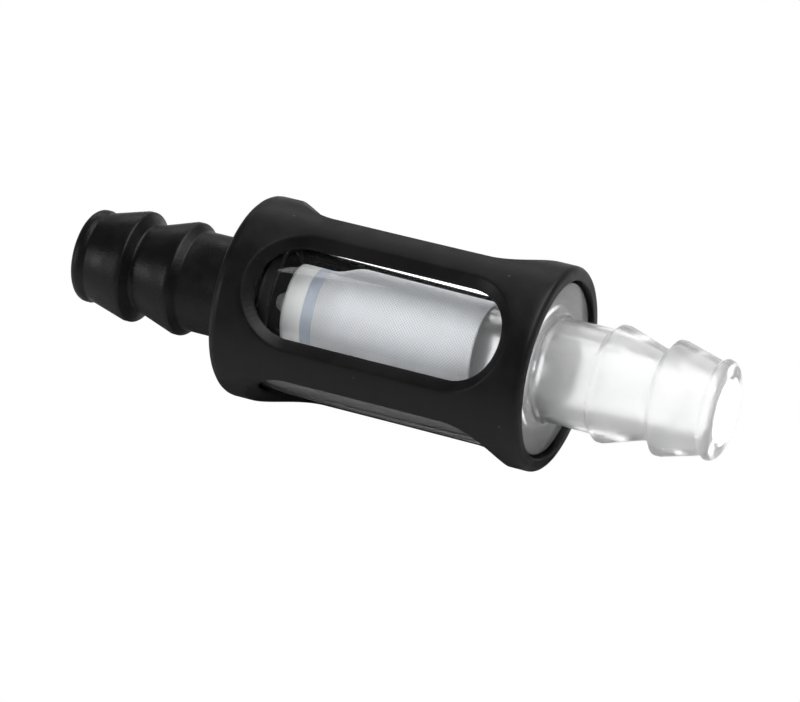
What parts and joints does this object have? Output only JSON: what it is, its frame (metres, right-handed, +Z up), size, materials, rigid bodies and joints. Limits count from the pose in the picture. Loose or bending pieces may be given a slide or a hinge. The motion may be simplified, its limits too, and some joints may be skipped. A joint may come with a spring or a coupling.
{
  "type": "in-line fuel filter",
  "caption": "In-line fuel filter with a clear bowl and screen in a windowed black guard, with a barbed hose nipple at each end.",
  "frame": {"origin": "middle of the filter, on its flow axis", "axes": "+X along the flow axis from the black inlet nipple to the clear outlet nipple; +Z up, between two guard windows"},
  "size_m": [0.0604, 0.018, 0.018],
  "materials": {
    "guard_nylon": "satin moulded black nylon",
    "fitting_nylon": "satin moulded black nylon",
    "clear_nylon": "clear amorphous nylon, gloss",
    "seal_rubber": "black fuel-grade rubber",
    "white_plastic": "natural white plastic",
    "frame_plastic": "natural translucent plastic",
    "screen_cloth": "fine woven nylon screen"
  },
  "bodies": {
    "root": {"guard_cage": "guard_nylon", "inlet_fitting": "fitting_nylon", "bowl": "clear_nylon", "bowl_seal": "seal_rubber", "screen_end_cap": "white_plastic", "screen_frame": "frame_plastic", "screen_mesh": "screen_cloth", "outlet_collar": "white_plastic"}
  },
  "joints": []
}
